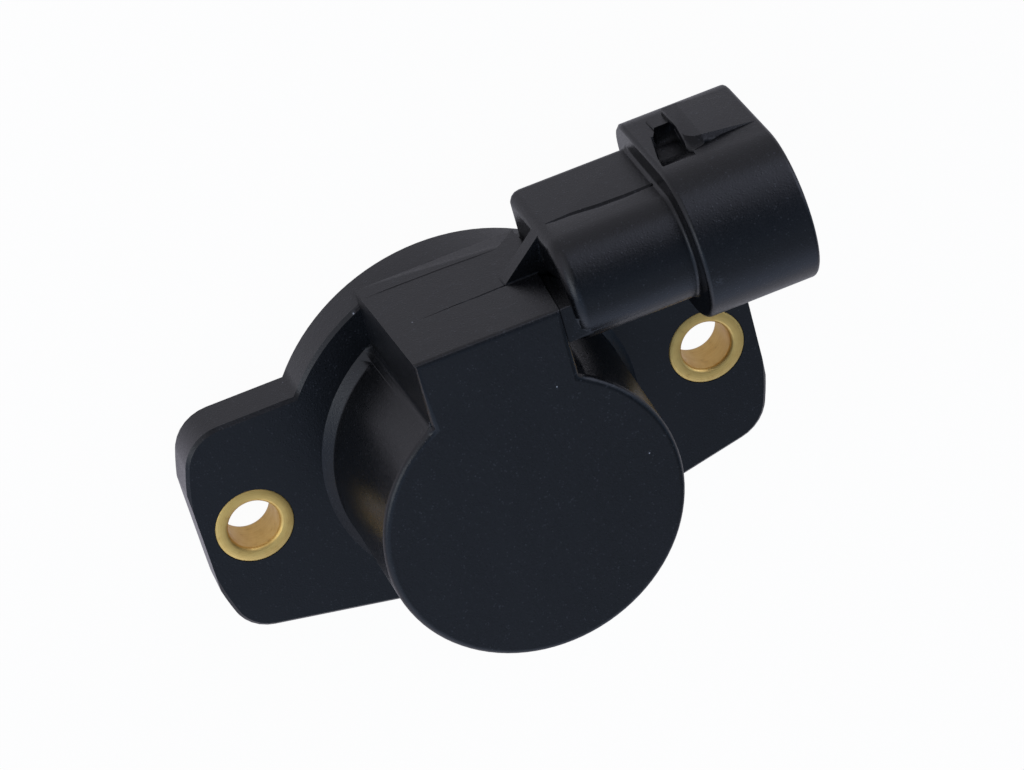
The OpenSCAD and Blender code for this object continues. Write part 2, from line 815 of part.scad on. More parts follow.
// Coil between the cover and the disc, with one leg in the wall and one up into the disc
module return_spring() {
    steps = 18;
    n = spring_turns * steps;
    coil = [for (i = [0:n])
        let (a = leg_angle + 360 * i / steps)
        [spring_r * cos(a), spring_r * sin(a), spring_low_z + (spring_high_z - spring_low_z) * i / n]];
    color("#9fa3a8") {
        swept_wire(coil, wire_t / 2, 8);
        rotate([0, 0, leg_angle])
            translate([spring_r, 0, spring_low_z])
                rotate([0, 90, 0])
                    cylinder(h = bay_r + slot_depth - 0.3 - spring_r, r = wire_t / 2, $fn = 16);
        rotate([0, 0, leg_angle])
            translate([spring_r, 0, spring_high_z - wire_t / 2])
                cylinder(h = disc_z + leg_grip - spring_high_z + wire_t / 2, r = wire_t / 2, $fn = 16);
    }
}

// A D section: round with one flat
module d_section(r, flat) {
    intersection() {
        circle(r, $fn = fine);
        translate([-r, -flat])
            square([2 * r, r + flat]);
    }
}

module rotor() {
    color("#d9d4c4")
        difference() {
            union() {
                translate([0, 0, rotor_back])
                    cylinder(h = disc_top_z - rotor_back, r = journal_r, $fn = fine);
                translate([0, 0, shoulder_z])
                    cylinder(h = disc_z - shoulder_z + 0.5, r = shoulder_r, $fn = fine);
                translate([0, 0, disc_z])
                    cylinder(h = disc_t, r = disc_r, $fn = fine);
                translate([0, 0, disc_z - lug_h])
                    sector(shoulder_r - 1, lug_r, rest_angle - lug_angle / 2, lug_angle, lug_h + 0.5);
                rotate([0, 0, rest_angle])
                    for (r = [collector_r, resistor_r])
                        translate([r, stud_y, disc_top_z - stud_sink])
                            stud();
            }
            translate([0, 0, rotor_back - 1])
                linear_extrude(socket_depth + 1)
                    d_section(socket_r, socket_flat);
            translate([-clip_w / 2 - seat_gap, -socket_flat - clip_t - seat_gap, rotor_back - 1])
                cube([clip_w + 2 * seat_gap, clip_t + 1, socket_depth + 1]);
            translate([-clip_w / 2 - seat_gap, -socket_flat - clip_lip - seat_gap, rotor_back - 1])
                cube([clip_w + 2 * seat_gap, clip_lip + 1, 1 + lip_sink + clip_t + seat_gap]);
            translate([0, 0, pin_low_z - 0.4])
                cylinder(h = disc_top_z, r = pin_r + run_gap, $fn = fine);
            rotate([0, 0, leg_angle])
                translate([spring_r, 0, disc_z - 1])
                    cylinder(h = 1.3 + leg_grip, r = wire_t / 2 + leg_gap, $fn = soft);
        }
}

// A peg with a flat head that holds the wiper plate
module stud() {
    cylinder(h = stud_sink + wiper_t, r = stud_r, $fn = soft);
    translate([0, 0, stud_sink + wiper_t])
        cylinder(h = stud_head, r = stud_r + 0.3, $fn = soft);
}

// Spring clip: a strip beside the socket's flat, with a lip over the end of the hub
module drive_clip() {
    color("#a9adb2")
        translate([-clip_w / 2, -socket_flat, rotor_back + lip_sink]) {
            translate([0, -clip_t, 0])
                cube([clip_w, clip_t, socket_depth - lip_sink - seat_gap]);
            translate([0, -clip_lip, 0])
                cube([clip_w, clip_lip, clip_t]);
        }
}

// One finger at radius r: it lies on the plate, rises, and ends in a short rounded contact
module finger(r) {
    top = finger_rise + wiper_t;
    translate([r - finger_w / 2, 0, 0])
        rotate([90, 0, 90])
            linear_extrude(finger_w)
                polygon([[root_y - 0.8, 0], [root_y + 0.1, 0], [tip_y + 0.1, top - 0.5],
                    [tip_y + 0.7, top - 0.7], [tip_y + 0.8, top - 0.4], [tip_y + 0.25, top],
                    [tip_y - 0.15, top], [root_y - 0.1, wiper_t], [root_y - 0.8, wiper_t]]);
}

// Wiper: a plate on the disc with two pairs of fingers that rise to the tracks
module wiper_brush() {
    edge = finger_w + finger_apart / 2;
    color("#c8b27a")
        rotate([0, 0, rest_angle])
            translate([0, 0, disc_top_z]) {
                difference() {
                    translate([collector_r - edge, stud_y - plate_len / 2, 0])
                        cube([resistor_r - collector_r + 2 * edge, plate_len, wiper_t]);
                    for (r = [collector_r, resistor_r])
                        translate([r, stud_y, -1])
                            cylinder(h = 2, r = stud_r + seat_gap, $fn = soft);
                }
                for (r = [collector_r, resistor_r])
                    for (s = [-1, 1])
                        finger(r + s * (finger_w + finger_apart) / 2);
            }
}

housing();
left_bush();
right_bush();
rear_cover();
flange_seal();
shaft_seal();
pivot_pin();
track_card();
resistor_track();
collector_track();
supply_terminal();
signal_terminal();
ground_terminal();
supply_rivet();
signal_rivet();
ground_rivet();
wave_washer();
return_spring();
rotor();
drive_clip();
wiper_brush();
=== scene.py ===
"""Throttle position sensor, dressed for a studio view.

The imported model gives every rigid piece. This script takes the housing's surface and gives it broken
edges and parting lines, turns fresh brass bushes, and gives each piece its own finish. Lengths are in
metres; a name that ends in _mm holds millimetres.
"""

from __future__ import annotations

import json
import logging
import math
from dataclasses import dataclass, field
from enum import Enum
from typing import Callable, Iterable, Mapping, Sequence, Union

import bmesh
import bpy
from mathutils import Matrix, Vector

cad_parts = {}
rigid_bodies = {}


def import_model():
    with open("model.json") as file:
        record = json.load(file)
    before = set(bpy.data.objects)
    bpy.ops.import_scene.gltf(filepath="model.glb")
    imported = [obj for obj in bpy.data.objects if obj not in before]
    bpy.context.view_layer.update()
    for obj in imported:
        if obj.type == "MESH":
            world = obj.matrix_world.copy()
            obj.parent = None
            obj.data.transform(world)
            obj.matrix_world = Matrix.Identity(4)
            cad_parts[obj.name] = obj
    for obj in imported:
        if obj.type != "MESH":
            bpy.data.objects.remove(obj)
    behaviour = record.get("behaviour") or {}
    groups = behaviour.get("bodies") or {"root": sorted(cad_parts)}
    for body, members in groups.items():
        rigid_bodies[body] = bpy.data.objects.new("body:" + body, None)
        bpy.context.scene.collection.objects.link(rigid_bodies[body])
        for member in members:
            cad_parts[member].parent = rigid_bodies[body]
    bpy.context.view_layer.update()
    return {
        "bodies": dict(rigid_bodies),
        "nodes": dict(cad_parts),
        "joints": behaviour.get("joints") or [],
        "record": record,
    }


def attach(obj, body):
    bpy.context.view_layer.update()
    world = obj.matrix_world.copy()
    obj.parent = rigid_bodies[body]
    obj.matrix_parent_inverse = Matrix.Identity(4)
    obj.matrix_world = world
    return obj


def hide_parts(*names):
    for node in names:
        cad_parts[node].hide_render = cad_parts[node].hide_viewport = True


MM = 0.001
LOG = logging.getLogger("sensor")

Number = Union[int, float]
Colour = tuple[float, float, float]


class Axis(Enum):
    """A direction of the object's frame."""

    X = 0
    Y = 1
    Z = 2


class Body(Enum):
    """The rigid bodies that this script's own pieces ride on."""

    HOUSING = "housing"


# ---------------------------------------------------------------- shader arithmetic


class Signal:
    """A shader socket that Python expressions can use as a number that changes over the surface."""

    def __init__(self, graph: "Graph", socket: bpy.types.NodeSocket) -> None:
        """Wraps one output socket of a graph."""
        self.graph = graph
        self.socket = socket

    def _math(self, operation: str, first: object, second: object) -> "Signal":
        """Adds a Math node.

        Args:
            operation: the Math node's operation.
            first: value or signal of the first socket.
            second: value or signal of the second socket.

        Returns:
            The node's result.
        """
        return self.graph.add("ShaderNodeMath", {"operation": operation}, {0: first, 1: second})

    def __add__(self, other: object) -> "Signal":
        """Sum."""
        return self._math("ADD", self, other)

    __radd__ = __add__

    def __sub__(self, other: object) -> "Signal":
        """Difference."""
        return self._math("SUBTRACT", self, other)

    def __rsub__(self, other: object) -> "Signal":
        """Difference, the other way round."""
        return self._math("SUBTRACT", other, self)

    def __mul__(self, other: object) -> "Signal":
        """Product."""
        return self._math("MULTIPLY", self, other)

    __rmul__ = __mul__

    def most(self, other: object) -> "Signal":
        """The larger of two values."""
        return self._math("MAXIMUM", self, other)

    def rise(self, low: Number, high: Number) -> "Signal":
        """A soft step.

        Args:
            low: the value at which the step starts.
            high: the value at which it ends; below low, the step falls.

        Returns:
            0 before the step, 1 after it.
        """
        return self.graph.add(
            "ShaderNodeMapRange",
            {"interpolation_type": "SMOOTHSTEP"},
            {"Value": self, "From Min": low, "From Max": high, "To Min": 0.0, "To Max": 1.0},
        )


class Graph:
    """A node tree that is built from nothing."""

    end = "ShaderNodeOutputMaterial"

    def __init__(self, tree: bpy.types.NodeTree) -> None:
        """Empties a tree.

        Args:
            tree: the material's or the world's tree.
        """
        self.tree = tree
        self.tree.nodes.clear()

    def add(
        self,
        kind: str,
        settings: Mapping[str, object] | None = None,
        sockets: Mapping[Union[int, str], object] | None = None,
        output: Union[int, str] = 0,
    ) -> Signal:
        """Adds one node, sets it up, and fills its sockets.

        Args:
            kind: the node's type.
            settings: the node's own settings.
            sockets: a value or a signal for each socket, by name or place.
            output: the socket that the result is taken from.

        Returns:
            The chosen output.
        """
        node = self.tree.nodes.new(kind)
        for name, value in (settings or {}).items():
            setattr(node, name, value)
        for name, value in (sockets or {}).items():
            self._fill(node.inputs[name], value)
        return Signal(self, node.outputs[output])

    def _fill(self, socket: bpy.types.NodeSocket, value: object) -> None:
        """Links a signal to a socket, or writes a value to it.

        Args:
            socket: the socket to fill.
            value: a signal, a number, or a row of numbers.
        """
        if isinstance(value, Signal):
            self.tree.links.new(value.socket, socket)
        elif isinstance(value, (tuple, list)) and socket.type == "RGBA":
            socket.default_value = (*value, 1.0)
        else:
            socket.default_value = value

    def blend(self, factor: object, first: object, second: object) -> Signal:
        """Mixes two colours.

        Args:
            factor: 0 gives the first, 1 the second.
            first: colour or signal.
            second: colour or signal.

        Returns:
            The mixed colour.
        """
        return self.add(
            "ShaderNodeMix",
            {"data_type": "RGBA"},
            {"Factor": factor, 6: first, 7: second},
            output=2,
        )

    def add_output(self, shader: Signal) -> None:
        """Ends the graph with a shader."""
        node = self.tree.nodes.new(self.end)
        self.tree.links.new(shader.socket, node.inputs["Surface"])


class Recipe(Graph):
    """The node graph of one material, with a Principled shader at its end."""

    def __init__(self, name: str) -> None:
        """Starts an empty material.

        Args:
            name: the material's name.
        """
        self.material = bpy.data.materials.new(name)
        self.material.use_nodes = True
        super().__init__(self.material.node_tree)
        self._coordinates: Signal | None = None

    @property
    def place(self) -> Signal:
        """The point on the surface, in the object's own frame, in millimetres."""
        if self._coordinates is None:
            point = self.add("ShaderNodeTexCoord", output="Object")
            self._coordinates = self.add(
                "ShaderNodeVectorMath", {"operation": "SCALE"}, {"Vector": point, "Scale": 1.0 / MM}
            )
        return self._coordinates

    def coordinate(self, axis: Axis) -> Signal:
        """One coordinate of the point on the surface, in millimetres."""
        return self.add("ShaderNodeSeparateXYZ", None, {0: self.place}, output=axis.value)

    def stretched(self, scale: Sequence[float], shift: Sequence[float] = (0.0, 0.0, 0.0)) -> Signal:
        """The point on the surface, moved and then stretched along each axis.

        Args:
            scale: one factor per axis.
            shift: added to the point first, in millimetres.

        Returns:
            The changed point.
        """
        moved = self.add("ShaderNodeVectorMath", {"operation": "ADD"}, {0: self.place, 1: tuple(shift)})
        return self.add("ShaderNodeVectorMath", {"operation": "MULTIPLY"}, {0: moved, 1: tuple(scale)})

    def noise(self, size_mm: float, detail: float = 2.0, point: Signal | None = None) -> Signal:
        """Smooth noise around one half.

        Args:
            size_mm: size of one blot.
            detail: how many finer layers are added.
            point: where to read the noise; the surface point if left out.

        Returns:
            The noise value.
        """
        return self.add(
            "ShaderNodeTexNoise",
            {"noise_dimensions": "3D"},
            {"Vector": point or self.place, "Scale": 1.0 / size_mm, "Detail": detail, "Roughness": 0.55},
        )

    def away(self, point_mm: Sequence[float]) -> Signal:
        """Distance from a point of the object's frame, in millimetres."""
        return self.add(
            "ShaderNodeVectorMath", {"operation": "DISTANCE"}, {0: self.place, 1: tuple(point_mm)}, "Value"
        )

    def cells(self, size_mm: float) -> Signal:
        """Distance to the nearest of many scattered points, as a share of their spacing.

        Args:
            size_mm: the spacing of the points.

        Returns:
            The distance.
        """
        sockets = {"Vector": self.place, "Scale": 1.0 / size_mm}
        return self.add("ShaderNodeTexVoronoi", {"feature": "F1"}, sockets, "Distance")

    def bump(self, height: Signal, depth_mm: float) -> Signal:
        """Turns a height into a changed surface direction.

        Args:
            height: height from 0 to 1.
            depth_mm: the real height of 1.

        Returns:
            The surface direction.
        """
        sockets = {"Height": height, "Distance": depth_mm * MM, "Strength": 1.0}
        return self.add("ShaderNodeBump", None, sockets)

    def finish(self, **sockets: object) -> bpy.types.Material:
        """Adds the Principled shader and the output.

        Args:
            **sockets: values for the shader's sockets, with _ for a space.

        Returns:
            The finished material.
        """
        named = {name.replace("_", " "): value for name, value in sockets.items()}
        shader = self.add("ShaderNodeBsdfPrincipled", None, named)
        self.add_output(shader)
        return self.material


# ---------------------------------------------------------------- finishes


@dataclass(frozen=True)
class Scuff:
    """A small pale rub mark on a moulding."""

    place_mm: tuple[float, float, float]
    radius_mm: float
    strength: float = 0.6


@dataclass(frozen=True)
class MouldedPlastic:
    """Glass-filled moulding: fine grain, flow marks, glints of fibre ends and a few dust specks."""

    name: str
    deep: Colour = (0.0010, 0.0011, 0.0014)
    pale: Colour = (0.0034, 0.0036, 0.0042)
    glint: Colour = (0.042, 0.043, 0.047)
    rubbed: Colour = (0.045, 0.047, 0.052)
    dust_colour: Colour = (0.30, 0.30, 0.31)
    roughness: float = 0.31
    grain_mm: float = 0.2
    grain_depth_mm: float = 0.024
    flow_mm: float = 6.0
    specular: float = 0.4
    dust: float = 1.0
    scuffs: tuple[Scuff, ...] = ()

    def material(self) -> bpy.types.Material:
        """Builds the material."""
        r = Recipe(self.name)
        flow = r.noise(self.flow_mm, 3.0, r.stretched((1.0, 0.45, 0.45)))
        grain = r.noise(self.grain_mm, 3.0)
        coarse = r.noise(self.grain_mm * 4.5, 2.0)
        fibre = 1.0 - r.cells(self.grain_mm * 1.7).rise(0.1, 0.36)
        patch = r.noise(0.9, 2.0).rise(0.48, 0.66)
        tone = grain.rise(0.3, 0.72) * 0.55 + coarse.rise(0.25, 0.75) * 0.2 + flow.rise(0.3, 0.7) * 0.35
        colour = r.blend(tone, self.deep, self.pale)
        colour = r.blend(fibre * patch * 0.5, colour, self.glint)
        speck = 1.0 - r.cells(5.5).rise(0.012, 0.02)
        colour = r.blend(speck * self.dust, colour, self.dust_colour)
        rough = self.roughness - 0.08 + grain.rise(0.2, 0.8) * 0.14 + flow.rise(0.2, 0.8) * 0.05
        for scuff in self.scuffs:
            mark = (1.0 - r.away(scuff.place_mm).rise(0.0, scuff.radius_mm)) * grain.rise(0.4, 0.62)
            colour = r.blend(mark * scuff.strength, colour, self.rubbed)
            rough = rough + mark * 0.2
        height = grain * 0.6 + coarse * 0.45 + fibre * 0.25
        return r.finish(
            Base_Color=colour,
            Roughness=rough,
            Specular_IOR_Level=self.specular,
            Normal=r.bump(height, self.grain_depth_mm),
        )


@dataclass(frozen=True)
class TurnedBrass:
    """Brass turned on a lathe: rings about the axis, a satin finish, blots and a few stains."""

    name: str
    centre_mm: tuple[float, float]
    bright: Colour = (0.88, 0.59, 0.18)
    dull: Colour = (0.73, 0.45, 0.11)
    stain: Colour = (0.50, 0.28, 0.08)
    metallic: float = 0.6

    def material(self) -> bpy.types.Material:
        """Builds the material."""
        r = Recipe(self.name)
        flat = r.stretched((1.0, 1.0, 0.0), (-self.centre_mm[0], -self.centre_mm[1], 0.0))
        radius = r.add("ShaderNodeVectorMath", {"operation": "LENGTH"}, {0: flat}, "Value")
        height = r.coordinate(Axis.Z)
        ring_place = r.add("ShaderNodeCombineXYZ", None, {"X": radius * 14.0, "Y": height * 14.0})
        rings = r.noise(1.0, 3.0, ring_place)
        blots = r.noise(0.7, 4.0)
        colour = r.blend(rings.rise(0.3, 0.7) * 0.5 + blots.rise(0.35, 0.7) * 0.3, self.bright, self.dull)
        colour = r.blend(blots.rise(0.62, 0.74) * 0.3, colour, self.stain)
        rough = 0.3 + rings.rise(0.3, 0.7) * 0.12 + blots.rise(0.3, 0.8) * 0.1
        return r.finish(
            Base_Color=colour,
            Roughness=rough,
            Metallic=self.metallic,
            Normal=r.bump(rings * 0.7 + blots * 0.3, 0.006),
        )


@dataclass(frozen=True)
class RolledStrip:
    """Bright metal strip or wire with draw marks along one axis."""

    name: str
    light: Colour
    dark: Colour
    along: Axis = Axis.X
    roughness: float = 0.28

    def material(self) -> bpy.types.Material:
        """Builds the material."""
        r = Recipe(self.name)
        scale = [14.0, 14.0, 14.0]
        scale[self.along.value] = 0.5
        marks = r.noise(1.0, 3.0, r.stretched(scale))
        blots = r.noise(1.6, 3.0)
        colour = r.blend(marks.rise(0.25, 0.75) * 0.6 + blots.rise(0.4, 0.75) * 0.4, self.light, self.dark)
        rough = self.roughness + marks.rise(0.2, 0.8) * 0.12 + blots.rise(0.4, 0.8) * 0.1
        return r.finish(Base_Color=colour, Roughness=rough, Metallic=1.0, Normal=r.bump(marks, 0.006))


@dataclass(frozen=True)
class MouldedRubber:
    """Black or brown seal rubber with a dull skin and a little bloom."""

    name: str
    base: Colour = (0.016, 0.016, 0.017)
    bloom: Colour = (0.05, 0.05, 0.052)

    def material(self) -> bpy.types.Material:
        """Builds the material."""
        r = Recipe(self.name)
        skin = r.noise(0.25, 3.0)
        cloud = r.noise(3.0, 3.0)
        colour = r.blend(cloud.rise(0.45, 0.8) * 0.6 + skin.rise(0.3, 0.8) * 0.2, self.base, self.bloom)
        return r.finish(
            Base_Color=colour, Roughness=0.62 + cloud.rise(0.3, 0.8) * 0.16, Normal=r.bump(skin, 0.012)
        )


@dataclass(frozen=True)
class PrintedFilm:
    """A printed layer or bare laminate with a screen-print tooth and cloudy patches of wear."""

    name: str
    base: Colour
    worn: Colour
    metallic: float = 0.0
    roughness: float = 0.5

    def material(self) -> bpy.types.Material:
        """Builds the material."""
        r = Recipe(self.name)
        warp = r.noise(0.2, 2.0, r.stretched((1.0, 3.0, 1.0)))
        weft = r.noise(0.2, 2.0, r.stretched((3.0, 1.0, 1.0)))
        weave = warp * 0.5 + weft * 0.5
        cloud = r.noise(2.0, 3.0)
        colour = r.blend(weave.rise(0.35, 0.65) * 0.35 + cloud.rise(0.4, 0.8) * 0.35, self.base, self.worn)
        rough = self.roughness + weave.rise(0.3, 0.7) * 0.12
        return r.finish(
            Base_Color=colour, Roughness=rough, Metallic=self.metallic, Normal=r.bump(weave, 0.01)
        )


class Finishes:
    """One finish for each kind of surface on the sensor."""

    housing = MouldedPlastic(
        "glass_filled_black",
        scuffs=(Scuff((23.1, 18.9, 25.4), 0.9), Scuff((2.0, 21.0, 22.6), 0.5)),
    )
    cover = MouldedPlastic(
        "cover_black", deep=(0.008, 0.008, 0.009), pale=(0.018, 0.018, 0.019), roughness=0.44
    )
    rotor = MouldedPlastic(
        "natural_moulding",
        deep=(0.50, 0.45, 0.34),
        pale=(0.66, 0.61, 0.50),
        glint=(0.8, 0.78, 0.7),
        rubbed=(0.8, 0.78, 0.7),
        roughness=0.42,
        grain_depth_mm=0.006,
        dust=0.0,
    )
    left_bush = TurnedBrass("brass_left", (-25.0, 0.0))
    right_bush = TurnedBrass("brass_right", (25.0, 0.0))
    tin = RolledStrip("tinned_strip", (0.74, 0.73, 0.70), (0.50, 0.49, 0.46), Axis.X, 0.24)
    rivet = RolledStrip("plated_rivet", (0.66, 0.67, 0.69), (0.42, 0.43, 0.45), Axis.Z, 0.2)
    spring_steel = RolledStrip("spring_steel", (0.55, 0.56, 0.59), (0.33, 0.34, 0.36), Axis.Z, 0.3)
    clip_steel = RolledStrip("clip_steel", (0.58, 0.59, 0.61), (0.36, 0.37, 0.39), Axis.Z, 0.26)
    washer_steel = RolledStrip("washer_steel", (0.52, 0.53, 0.56), (0.34, 0.35, 0.37), Axis.X, 0.3)
    ground_steel = RolledStrip("ground_pin", (0.62, 0.63, 0.65), (0.46, 0.47, 0.49), Axis.X, 0.18)
    wiper_alloy = RolledStrip("wiper_alloy", (0.76, 0.62, 0.36), (0.52, 0.40, 0.20), Axis.Y, 0.24)
    seal = MouldedRubber("seal_black")
    lip_seal = MouldedRubber("seal_brown", (0.030, 0.018, 0.013), (0.075, 0.05, 0.038))
    laminate = PrintedFilm("card_laminate", (0.50, 0.46, 0.33), (0.62, 0.58, 0.46))
    carbon = PrintedFilm("carbon_film", (0.018, 0.016, 0.015), (0.045, 0.042, 0.04), roughness=0.42)
    silver = PrintedFilm("silver_film", (0.60, 0.60, 0.60), (0.42, 0.42, 0.41), metallic=1.0, roughness=0.38)


def dress(piece: bpy.types.Object, material: bpy.types.Material) -> None:
    """Gives a piece one material in every slot.

    Args:
        piece: a frame node or a piece of this script.
        material: the finished material.
    """
    if not piece.material_slots:
        piece.data.materials.append(material)
    for place in piece.material_slots:
        place.material = material


# ---------------------------------------------------------------- mesh helpers


def new_piece(name: str, mesh: bpy.types.Mesh, body: Body) -> bpy.types.Object:
    """Puts a mesh in the scene as a piece that rides on a body.

    Args:
        name: the piece's name.
        mesh: its mesh, in the shared frame.
        body: the body that carries it.

    Returns:
        The piece.
    """
    piece = bpy.data.objects.new(name, mesh)
    bpy.context.scene.collection.objects.link(piece)
    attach(piece, body.value)
    return piece


def revolve(
    profile: Sequence[tuple[float, float]], centre: tuple[float, float], sides: int
) -> bpy.types.Mesh:
    """Turns a closed profile into a ring.

    Args:
        profile: radius and height of each corner, in millimetres, in order.
        centre: x and y of the axis, in millimetres.
        sides: how many steps make a full turn.

    Returns:
        The ring's mesh, in metres.
    """
    points, faces = [], []
    count = len(profile)
    for i in range(sides):
        angle = 2.0 * math.pi * i / sides
        points += [
            ((centre[0] + r * math.cos(angle)) * MM, (centre[1] + r * math.sin(angle)) * MM, z * MM)
            for r, z in profile
        ]
    for i in range(sides):
        near, far = i * count, (i + 1) % sides * count
        for j in range(count):
            k = (j + 1) % count
            faces.append((near + j, far + j, far + k, near + k))
    mesh = bpy.data.meshes.new("ring")
    mesh.from_pydata(points, [], faces)
    return mesh


def shade(mesh: bpy.types.Mesh, sharp_deg: float) -> None:
    """Smooths a mesh, apart from its edges sharper than an angle.

    Args:
        mesh: the mesh.
        sharp_deg: the angle from which an edge stays sharp.
    """
    mesh.polygons.foreach_set("use_smooth", [True] * len(mesh.polygons))
    mesh.set_sharp_from_angle(angle=math.radians(sharp_deg))


def flat_faces_first(piece: bpy.types.Object) -> None:
    """Lets the large flat faces of a piece decide how its narrow edges are shaded."""
    weighted = piece.modifiers.new("flat_faces_first", "WEIGHTED_NORMAL")
    weighted.keep_sharp = True
    weighted.weight = 80


def closed_bar(name: str, rows: Sequence[Sequence[Sequence[float]]]) -> bpy.types.Object:
    """A closed bar that shapes the moulding and is then thrown away.

    Args:
        name: the bar's name.
        rows: the corners of each cross-section along the bar, in millimetres.

    Returns:
        The bar.
    """
    count = len(rows[0])
    points = [Vector(corner) * MM for row in rows for corner in row]
    last = count * (len(rows) - 1)
    faces = [tuple(range(count)), tuple(range(last + count - 1, last - 1, -1))]
    for i in range(0, last, count):
        for j in range(count):
            k = (j + 1) % count
            faces.append((i + j, i + count + j, i + count + k, i + k))
    mesh = bpy.data.meshes.new(name)
    mesh.from_pydata(points, [], faces)
    form = bmesh.new()
    form.from_mesh(mesh)
    if form.calc_volume(signed=True) < 0.0:
        bmesh.ops.reverse_faces(form, faces=form.faces)
    form.to_mesh(mesh)
    form.free()
    bar = bpy.data.objects.new(name, mesh)
    bpy.context.scene.collection.objects.link(bar)
    return bar


# ---------------------------------------------------------------- sub-assemblies


@dataclass(frozen=True)
class PartingGroove:
    """A narrow slot that the mould's parting left on a face that looks along y."""

    name: str
    face_y_mm: float
    xs_mm: tuple[float, ...]
    zs_mm: tuple[float, ...]
    halves_mm: tuple[float, ...]
    depth_mm: float
    operation: str = "DIFFERENCE"

    def bar(self) -> bpy.types.Object:
        """Builds the bar that cuts the slot."""
        top, floor = self.face_y_mm + 0.03, self.face_y_mm - self.depth_mm
        rows = [
            ((x, top, z - half), (x, top, z + half), (x, floor, z + 0.8 * half), (x, floor, z - 0.4 * half))
            for x, z, half in zip(self.xs_mm, self.zs_mm, self.halves_mm)
        ]
        return closed_bar(self.name, rows)


@dataclass(frozen=True)
class WitnessRidge:
    """A low ridge where two mould inserts met: a long slope behind it and a short one in front."""

    name: str
    face_y_mm: float
    xs_mm: tuple[float, ...]
    zs_mm: tuple[float, ...]
    height_mm: float
    back_mm: float
    front_mm: float
    operation: str = "UNION"

    def bar(self) -> bpy.types.Object:
        """Builds the bar that is joined to the moulding."""
        root = self.face_y_mm - 0.02
        last = len(self.xs_mm) - 1
        rows = []
        for i, (x, z) in enumerate(zip(self.xs_mm, self.zs_mm)):
            share = 0.1 if i in (0, last) else 1.0
            rows.append(
                (
                    (x, root, z - self.back_mm),
                    (x, root, z + self.front_mm),
                    (x, self.face_y_mm + self.height_mm * share, z),
                )
            )
        return closed_bar(self.name, rows)


@dataclass(frozen=True)
class Carving:
    """A hollow that one bar cuts, given by the corners of the bar's cross-sections."""

    name: str
    rows_mm: tuple[tuple[tuple[float, float, float], ...], ...]
    operation: str = "DIFFERENCE"

    def bar(self) -> bpy.types.Object:
        """Builds the bar that cuts the hollow."""
        return closed_bar(self.name, self.rows_mm)


@dataclass(frozen=True)
class CatchHollow:
    """The lock on the shroud: a level step, and a deep hollow in front of the ledge."""

    crown_mm: float = 28.8
    catch_x_mm: float = 26.2
    step_y_mm: float = 28.22

    def parts(self) -> tuple[Carving, ...]:
        """The two hollows, in the order they are cut."""
        return self._step(), self._open_part()

    def _step(self) -> Carving:
        """The level floor beside the ledge's catching wall, whose upper edge is rounded."""
        low, x, high = self.step_y_mm, self.catch_x_mm, self.crown_mm
        outline = (
            (x - 1.9, low),
            (x - 0.08, low),
            (x - 0.05, high - 0.18),
            (x + 0.04, high - 0.04),
            (x + 0.2, high + 0.03),
            (x + 0.2, high + 0.5),
            (x - 1.9, high + 0.5),
        )
        return Carving("catch_step", tuple(tuple((a, b, z) for a, b in outline) for z in (6.8, 10.6)))

    def _open_part(self) -> Carving:
        """The part of the hollow that lies open in front of the catching wall."""
        stations = (
            (9.05, 24.6, 26.7),
            (10.4, 23.95, 26.66),
            (11.6, 23.72, 26.66),
            (13.2, 23.3, 26.72),
            (14.8, 22.85, 27.3),
            (16.9, 22.6, 28.06),
        )
        right, top = self.catch_x_mm - 0.05, self.crown_mm + 0.5
        return Carving(
            "catch_hollow",
            tuple(((x, top, z), (right, top, z), (right, low, z), (x, low, z)) for z, x, low in stations),
        )


